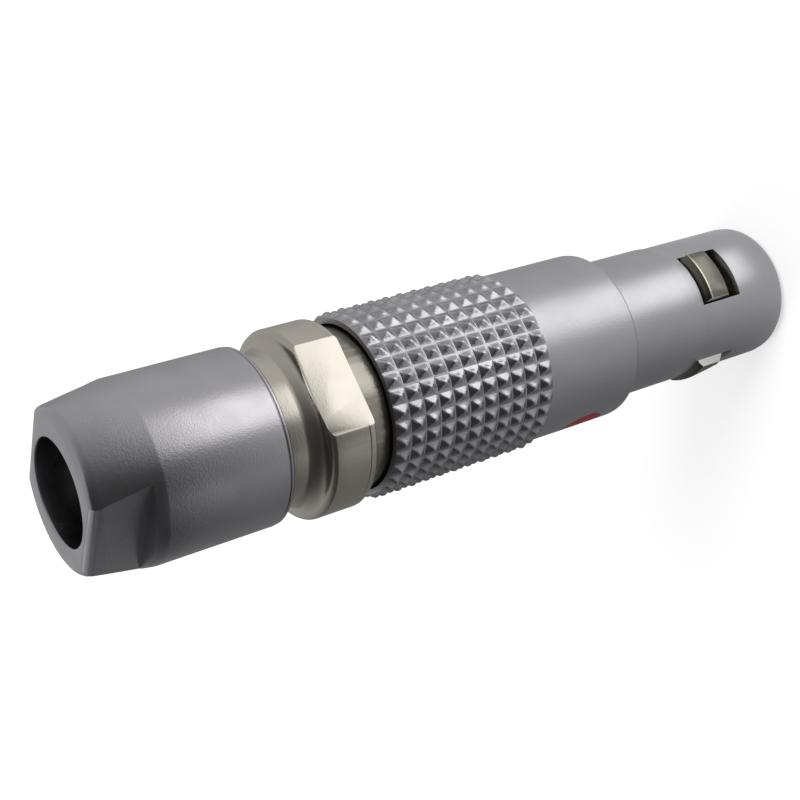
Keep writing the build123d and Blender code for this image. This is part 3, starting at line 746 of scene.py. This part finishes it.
def group_with(name, numbers):
    """An empty Geometry Nodes tree with named number inputs. Gives it and its input sockets."""
    group = bpy.data.node_groups.new(name, "GeometryNodeTree")
    group.interface.new_socket("Geometry", in_out="INPUT", socket_type="NodeSocketGeometry")
    for label, value in numbers.items():
        kind = "NodeSocketInt" if isinstance(value, int) else "NodeSocketFloat"
        group.interface.new_socket(label, in_out="INPUT", socket_type=kind)
    group.interface.new_socket("Geometry", in_out="OUTPUT", socket_type="NodeSocketGeometry")
    return group, group.nodes.new("NodeGroupInput").outputs


def end_group(group, geometry, material):
    """Realize the instances, set the material and close the tree."""
    real = new_node(group, "GeometryNodeRealizeInstances", i0=geometry)
    merged = new_node(group, "GeometryNodeMergeByDistance", i0=real.outputs[0])
    merged.inputs["Distance"].default_value = TREE_MERGE_DISTANCE
    painted = new_node(group, "GeometryNodeSetMaterial", i0=merged.outputs[0], Material=material)
    end = group.nodes.new("NodeGroupOutput")
    group.links.new(painted.outputs[0], end.inputs[0])


def run_tree(piece, group, numbers):
    """Puts a tree on a piece, sets its inputs by identifier and freezes the result."""
    modifier = piece.modifiers.new(group.name, "NODES")
    modifier.node_group = group
    for item in group.interface.items_tree:
        if item.in_out == "INPUT" and item.name in numbers:
            modifier[item.identifier] = numbers[item.name]
    return freeze(piece)


knurl_numbers = {
    "Steps round": KNURL_AROUND,
    "Rows": KNURL_ROWS,
    "Pitch": KNURL_PITCH,
    "Height change": 0.004,
    "Seed": 7,
}
group, given = group_with("knurl_rows", knurl_numbers)
total = maths(group, "MULTIPLY", given["Steps round"], given["Rows"])
line = new_node(group, "GeometryNodeMeshLine", Count=total, Offset=(0, 0, 0))
index = new_node(group, "GeometryNodeInputIndex").outputs[0]
row = maths(group, "FLOOR", maths(group, "DIVIDE", index, given["Steps round"]))
step = maths(group, "MODULO", index, given["Steps round"])
lift = new_node(group, "ShaderNodeCombineXYZ", Z=maths(group, "MULTIPLY", row, given["Pitch"]))
turn = maths(group, "MULTIPLY", step, 2 * math.pi)
turn = maths(group, "DIVIDE", turn, given["Steps round"])
turned = new_node(group, "ShaderNodeCombineXYZ", Z=turn)
placed = new_node(group, "GeometryNodeSetPosition", i0=line.outputs[0], Position=lift.outputs[0])
low = maths(group, "SUBTRACT", 1.0, given["Height change"])
chance = {"i2": low, "i3": 1.0, "Seed": given["Seed"]}
vary = new_node(group, "FunctionNodeRandomValue", {"data_type": "FLOAT"}, **chance)
size = new_node(group, "ShaderNodeCombineXYZ", X=vary.outputs[1], Y=vary.outputs[1], Z=1.0)
spread = new_node(
    group,
    "GeometryNodeInstanceOnPoints",
    Points=placed.outputs[0],
    Instance=given["Geometry"],
    Rotation=turned.outputs[0],
    Scale=size.outputs[0],
)
end_group(group, spread.outputs[0], metals["knurl_chrome"])
run_tree(knurl, group, knurl_numbers)
complete(knurl, metals["knurl_chrome"], "release_shell", [], sharp=75)

# %% [markdown]
# The alignment dot is a spot of red enamel let into the collar. Enamel draws up into a low dome
# with a rounded rim, so the disc is bent onto the collar's radius and crowned by a few
# hundredths.

# %% Alignment dot
DOT_R = 1.55
DOT_SETBACK = 2.55
DOT_PROUD = 0.004
DOT_RIM_START = 0.9
DOT_RIM_DROP = 0.05
DOT_THICKNESS = 0.08


def enamel_dot(rings=8, steps=48):
    """A disc of rings, bent onto the collar and crowned at its rim."""
    flat = [(0.0, 0.0)]
    for ring in range(1, rings + 1):
        share = ring / rings
        for step in range(steps):
            turn = 2 * math.pi * step / steps
            flat.append((DOT_R * share * math.cos(turn), DOT_R * share * math.sin(turn)))
    faces = []
    for step in range(steps):
        following = (step + 1) % steps
        faces.append((0, 1 + step, 1 + following))
        for ring in range(1, rings):
            here, out = 1 + (ring - 1) * steps, 1 + ring * steps
            faces.append((here + step, out + step, out + following, here + following))
    verts = []
    for across, along in flat:
        reach = math.hypot(across, along) / DOT_R
        sunk = DOT_RIM_DROP * max(0.0, reach - DOT_RIM_START) / (1 - DOT_RIM_START)
        skin = COLLAR_R + DOT_PROUD - sunk
        turn = across / COLLAR_R
        verts.append((-skin * math.cos(turn), -skin * math.sin(turn), NOSE_LENGTH + DOT_SETBACK + along))
    mesh = bpy.data.meshes.new("alignment_dot")
    mesh.from_pydata(verts, [], faces)
    piece = new_piece("enamel_dot", mesh)
    thick = piece.modifiers.new("thick", "SOLIDIFY")
    thick.thickness = DOT_THICKNESS
    thick.offset = -1
    freeze(piece)
    tidy(piece.data)
    return piece


dot = enamel_dot()
complete(dot, red_enamel, "release_shell", ["alignment_dot"])

# %% [markdown]
# The adapter joins the sleeve to the nut. Its flange has two milled flats for a wrench, with
# rounded edges all round, and runs down into the neck in a hollow curve, so that it has no weak
# corner. The land in front of the flange slides in the shell's mouth. It looks darker in the
# photograph than the flange does, so it gets a darker metal of its own. That is painted shade,
# which dims the bright strip that the land mirrors just as the flat does.

# %% Adapter body
FLANGE_GAP = 1.10
FLANGE_LENGTH = 2.17
FLANGE_R = 4.475
FLANGE_FLATS = 7.78
FLANGE_FLAT_ANGLE = -81.4
FLANGE_ROUND = 0.20
FLANK_LENGTH = 0.12
EDGE_LINE_Z = 0.32
LINE_DEPTH = 0.025
NECK_R = 3.50
NECK_FILLET = 0.75
ADAPTER_BORE_R = 2.75
SCREW_R = 3.23
LAND_R = 3.88
LAND_ROUND = 0.12
LAND_MARGIN = 0.04
FLAT_OVERRUNS = (0.06, 0.24)
SLEEVE_GAP = 0.05
THREAD_DEPTH = 0.28
THREAD_PITCH = 0.50
THREAD_START = 0.55
THREAD_RUNOUT = 0.3
THREAD_LEAD = 0.2
NECK_END_ROUND = 0.10

flange_z = shell_end_z + FLANGE_GAP
flange_end_z = flange_z + FLANGE_LENGTH
fillet_start = (NECK_R + NECK_FILLET, flange_end_z + FLANK_LENGTH)
fillet_end = (NECK_R, fillet_start[1] + NECK_FILLET)
screw_end_z = node_heights("latch_sleeve")[1] + SLEEVE_GAP
thread_start_z = nut_front_z + THREAD_START
thread_root_r = NECK_R - THREAD_DEPTH
adapter_section = [
    (SCREW_R, adapter_front_z, 0),
    (LAND_R, adapter_front_z, LAND_ROUND),
    (LAND_R, flange_z, 0),
    (FLANGE_R, flange_z, FLANGE_ROUND),
    (FLANGE_R, flange_z + EDGE_LINE_Z, 0),
    (FLANGE_R - LINE_DEPTH, flange_z + EDGE_LINE_Z + LINE_DEPTH, 0),
    (FLANGE_R, flange_z + EDGE_LINE_Z + 2 * LINE_DEPTH, 0),
    (FLANGE_R, flange_end_z, FLANGE_ROUND),
    (*fillet_start, 0),
    *concave_arc(fillet_start, fillet_end),
    (*fillet_end, 0),
    (NECK_R, thread_start_z - THREAD_RUNOUT, HAIR_ROUND),
    (thread_root_r, thread_start_z, 0),
    (thread_root_r, adapter_end_z, NECK_END_ROUND),
    (ADAPTER_BORE_R, adapter_end_z, EDGE_ROUND),
    (ADAPTER_BORE_R, screw_end_z, 0),
    (SCREW_R, screw_end_z, 0),
]
adapter = spun("adapter_body", adapter_section)
low_z, high_z = flange_z - FLAT_OVERRUNS[0], flange_end_z + FLAT_OVERRUNS[1]
angles = (FLANGE_FLAT_ANGLE, FLANGE_FLAT_ANGLE + 180)
cut(adapter, [milling_cutter(FLANGE_FLATS, low_z, high_z, angle) for angle in angles])
soften(adapter, width=0.09, segments=3, angle=30)
complete(adapter, metals["flange_nickel"], "core", ["adapter"])


def on_land(face):
    return face.center.z < (flange_z - LAND_MARGIN) * MM


# The land's faces get the darker nickel, which is painted shade.
print("land:", second_finish(adapter, metals["shaded_land_nickel"], on_land), "faces")

# %% [markdown]
# The neck's thread hides in the nut until the nut is unscrewed. A die cuts it into the bar, one
# groove that climbs round it. Here a diamond-shaped section follows a spiral instead and leaves a
# ridge with the same flanks, half of it sunk into the neck.

# %% A tree that winds a screw thread
def thread_tree(numbers, material):
    group, given = group_with("screw_thread", numbers)
    height = maths(group, "MULTIPLY", given["Turns"], given["Pitch"])
    helix = new_node(
        group,
        "GeometryNodeCurveSpiral",
        Resolution=72,
        Rotations=given["Turns"],
        Start_Radius=given["Radius"],
        End_Radius=given["Radius"],
        Height=height,
    )
    upright = new_node(group, "GeometryNodeSetCurveNormal", {"mode": "Z_UP"}, i0=helix.outputs[0])
    ring = new_node(group, "GeometryNodeCurvePrimitiveCircle", Resolution=4, Radius=1.0)
    half_pitch = maths(group, "MULTIPLY", given["Pitch"], 0.5)
    size = new_node(group, "ShaderNodeCombineXYZ", X=given["Depth"], Y=half_pitch, Z=1.0)
    shaped = new_node(group, "GeometryNodeTransform", i0=ring.outputs[0], Scale=size.outputs[0])
    curves = {"Curve": upright.outputs[0], "Profile_Curve": shaped.outputs[0]}
    ridge = new_node(group, "GeometryNodeCurveToMesh", **curves, Fill_Caps=True)
    place = new_node(group, "ShaderNodeCombineXYZ", Z=given["Start"])
    moves = {"Geometry": ridge.outputs[0], "Translation": place.outputs[0]}
    moved = new_node(group, "GeometryNodeTransform", **moves)
    end_group(group, moved.outputs[0], material)
    return group


thread_numbers = {
    "Turns": float(math.floor((adapter_end_z - thread_start_z - THREAD_RUNOUT) / THREAD_PITCH)),
    "Radius": thread_root_r,
    "Pitch": THREAD_PITCH,
    "Depth": THREAD_DEPTH,
    "Start": thread_start_z + THREAD_LEAD,
}
neck_thread = new_piece("neck_thread", bpy.data.meshes.new("neck_thread"))
run_tree(neck_thread, thread_tree(thread_numbers, metals["flange_nickel"]), thread_numbers)
tidy(neck_thread.data)
complete(neck_thread, metals["flange_nickel"], "core", [])

# %% [markdown]
# The collet nut closes on the neck's thread and squeezes the collet onto the cable. It is turned
# with a cone toward the cable and a fine double line in front. Two flats for a wrench are milled
# into the cone, and each ends at a square shoulder.

# %% Collet nut
NUT_R = 4.157
NUT_CONE_LENGTH = 3.035
NUT_CONE_ROUND = 0.7
NUT_FRONT_ROUND = 0.08
NUT_END_R = 3.65
NUT_END_ROUND = 0.50
CABLE_BORE_R = 2.41
CABLE_BORE_LENGTH = 3.00
CABLE_BORE_ROUND = 0.10
NUT_FLATS = 6.03
NUT_FLAT_LENGTH = 2.55
NUT_FLAT_END_ROUND = 0.40
NUT_FLAT_ANGLE = -150.0
NUT_SCREW_R = 3.53
NUT_BORE_CONE_R = 3.25
NUT_THREAD_OVERRUN = 0.30
# Each point of the double line: depth below the nut's radius, distance behind its front, rounding.
NUT_LINES = (
    (0.13, 0.00, 0.05),
    (0.03, 0.10, 0.05),
    (0.03, 0.20, 0),
    (0.07, 0.22, 0),
    (0.07, 0.25, 0),
    (0.00, 0.30, 0.03),
)

nut_section = [
    (NUT_SCREW_R, nut_front_z, NUT_FRONT_ROUND),
    *[(NUT_R - sunk, nut_front_z + behind, rounding) for sunk, behind, rounding in NUT_LINES],
    (NUT_R, nut_end_z - NUT_CONE_LENGTH, NUT_CONE_ROUND),
    (NUT_END_R, nut_end_z, NUT_END_ROUND),
    (CABLE_BORE_R, nut_end_z, CABLE_BORE_ROUND),
    (CABLE_BORE_R, nut_end_z - CABLE_BORE_LENGTH, 0),
    (NUT_BORE_CONE_R, adapter_end_z + NUT_THREAD_OVERRUN, 0),
    (NUT_SCREW_R, adapter_end_z + NUT_THREAD_OVERRUN, 0),
]
nut = spun("nut_body", nut_section)
flat_z = nut_end_z - NUT_FLAT_LENGTH
angles = (NUT_FLAT_ANGLE, NUT_FLAT_ANGLE + 180)
flat_size = (NUT_FLATS, flat_z, nut_end_z)
cut(nut, [milling_cutter(*flat_size, angle, NUT_FLAT_END_ROUND) for angle in angles])
soften(nut, width=0.10, segments=3, angle=28)
complete(nut, metals["nut_chrome"], "rear_nut", ["collet_nut"])

# %% [markdown]
# In the photograph the nut's flats look lighter than the blasted skin, and the corner where
# each ends looks darker. So both get a metal of their own: a much lighter chrome on the flats,
# which is a painted highlight, and a much darker one in the corners, which is painted shade. The
# faces are found by their place and by the way they look, not by their number in the mesh, which
# would change with every edit.

# %% The nut's flats and their corners
CORNER_WIDTH = 0.12
CORNER_MIN_R = 3.0
BORE_MARGIN = 0.05
FACING_LIMIT = 0.3
SIDEWAYS_LIMIT = 0.02

flat_facing = direction(NUT_FLAT_ANGLE)
flat_along = direction(NUT_FLAT_ANGLE + 90)


def on_flat(face):
    """A face that looks the flat's way, outside the bore and past the flat's corner."""
    outside = abs(face.center.dot(flat_facing)) / MM > CABLE_BORE_R + BORE_MARGIN
    past_corner = face.center.z / MM > flat_z + CORNER_WIDTH
    facing = abs(face.normal.dot(flat_facing)) > FACING_LIMIT
    sideways = abs(face.normal.dot(flat_along)) > SIDEWAYS_LIMIT
    return outside and past_corner and facing and not sideways


def in_corner(face):
    """A face of the narrow shoulder where a flat ends, which gets painted shade."""
    at_shoulder = abs(face.center.z / MM - flat_z) < CORNER_WIDTH
    far_out = face.center.xy.length / MM > CORNER_MIN_R
    return at_shoulder and far_out and face.normal.z > FACING_LIMIT


# The flats get the lighter chrome, a painted highlight.
print("flats:", second_finish(nut, metals["flat_highlight_chrome"], on_flat), "faces")
# The corners get the darker chrome, which is painted shade.
print("corners:", second_finish(nut, metals["corner_shade_chrome"], in_corner), "faces")

# %% [markdown]
# The remaining solids are small and sit mostly out of sight: the latch fingers, the contacts, the
# insulators and the cable clamp. Their CAD shapes are already right, so a copy of each is merged,
# its flat areas are joined up, and its edges are broken with a hair-thin bevel.

# %% Small pieces from the CAD
HAIR_BEVEL = 0.03
CAD_MERGE_DISTANCE = 1e-4
FLAT_ANGLE = math.radians(1)
SLOT_MATERIALS = {
    # The latch slot takes the very dark nickel, which is painted shade.
    "latch_metal": metals["shaded_latch_nickel"],
    "adapter_nickel": metals["flange_nickel"],
    "gold_plate": metals["contact_gold"],
    "insulator_white": white_insulator,
}


def refined(node):
    """A merged copy of a CAD node's mesh with softened edges, in millimetres."""
    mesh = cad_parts[node].data.copy()
    mesh.name = node + "_detail"
    mesh.transform(Matrix.Scale(1 / MM, 4))
    work = bmesh.new()
    work.from_mesh(mesh)
    bmesh.ops.remove_doubles(work, verts=work.verts, dist=CAD_MERGE_DISTANCE)
    bmesh.ops.dissolve_limit(work, angle_limit=FLAT_ANGLE, verts=work.verts, edges=work.edges)
    work.to_mesh(mesh)
    work.free()
    return soften(new_piece(mesh.name, mesh), width=HAIR_BEVEL, segments=2, angle=35)


print("slots:", ", ".join(SLOT_MATERIALS))

# %% [markdown]
# A latch is a springy finger with a tooth at its end. The tooth's ramp lets the plug slide in,
# and the crest behind it catches in the socket. In the photograph a thin bright line runs along
# the back of the crest, and the side of the tooth is bright. The line is therefore split off by a
# cut, and the line and the sides get lighter metals, which are painted highlights. The finger
# itself is a very dark nickel, painted shade for the inside of the shell.

# %% Latch fingers
CREST_R = 3.80
CREST_STRIP = 0.09
SIDE_LIMIT = 0.9
LATCHES = dict(zip(("latch_finger_1", "latch_finger_2", "latch_finger_3"), LATCH_ANGLES))


def split_crest(piece):
    """Cuts off a hairline at the back of a tooth's crest. Gives the height where it starts."""
    crest = [vert.co.z for vert in piece.data.vertices if vert.co.xy.length > CREST_R]
    start_z = max(crest) - CREST_STRIP
    work = bmesh.new()
    work.from_mesh(piece.data)
    everything = work.verts[:] + work.edges[:] + work.faces[:]
    bmesh.ops.bisect_plane(work, geom=everything, plane_co=(0, 0, start_z), plane_no=(0, 0, 1))
    work.to_mesh(piece.data)
    work.free()
    return start_z


def finish_tooth(finger, crest_z, angle):
    """Painted highlights: lighter metals on the line of the crest and on the two sides of the tooth."""
    verts = finger.data.vertices
    across = direction(angle + 90)

    def on_crest(face):
        return face.center.z > crest_z * MM and face.center.xy.length > CREST_R * MM

    def on_side(face):
        reach = max(verts[index].co.xy.length for index in face.vertices)
        return reach > CREST_R * MM and abs(face.normal.dot(across)) > SIDE_LIMIT

    lines = second_finish(finger, metals["crest_highlight_nickel"], on_crest)
    sides = second_finish(finger, metals["side_highlight_nickel"], on_side)
    print(f"crest line at {crest_z:.2f} mm: {lines} faces, sides: {sides} faces")


for number, (node, angle) in enumerate(LATCHES.items(), start=1):
    finger = refined(node)
    crest_z = split_crest(finger)
    complete(finger, SLOT_MATERIALS["latch_metal"], f"latch_{number}", [node])
    finish_tooth(finger, crest_z, angle)

# %% [markdown]
# Behind the latches come the sleeve, the contacts and their insulators, and last the pieces that
# hold the cable. They differ only in their body and their finish, so a table names both for each.

# %% Inner pieces
# Pieces in the latch_metal slot get the very dark nickel, which is painted shade.
INNER_PIECES = (
    ("latch_sleeve", "core", "latch_metal"),
    ("collet", "clamp_collet", "adapter_nickel"),
    ("centre_pin", "core", "gold_plate"),
    ("screen_contact", "core", "gold_plate"),
    ("inner_insulator", "core", "insulator_white"),
    ("outer_insulator", "core", "insulator_white"),
    ("inner_insulator_bush", "core", "insulator_white"),
    ("outer_insulator_bush", "core", "insulator_white"),
    ("thrust_washer", "core", "latch_metal"),
    ("braid_cone", "core", "adapter_nickel"),
    ("seat_bush", "core", "adapter_nickel"),
    ("lock_ring", "core", "latch_metal"),
    ("crimp_ferrule", "core", "adapter_nickel"),
)
for node, body, slot in INNER_PIECES:
    complete(refined(node), SLOT_MATERIALS[slot], body, [node])

# %% [markdown] Finish


print("all pieces dressed")
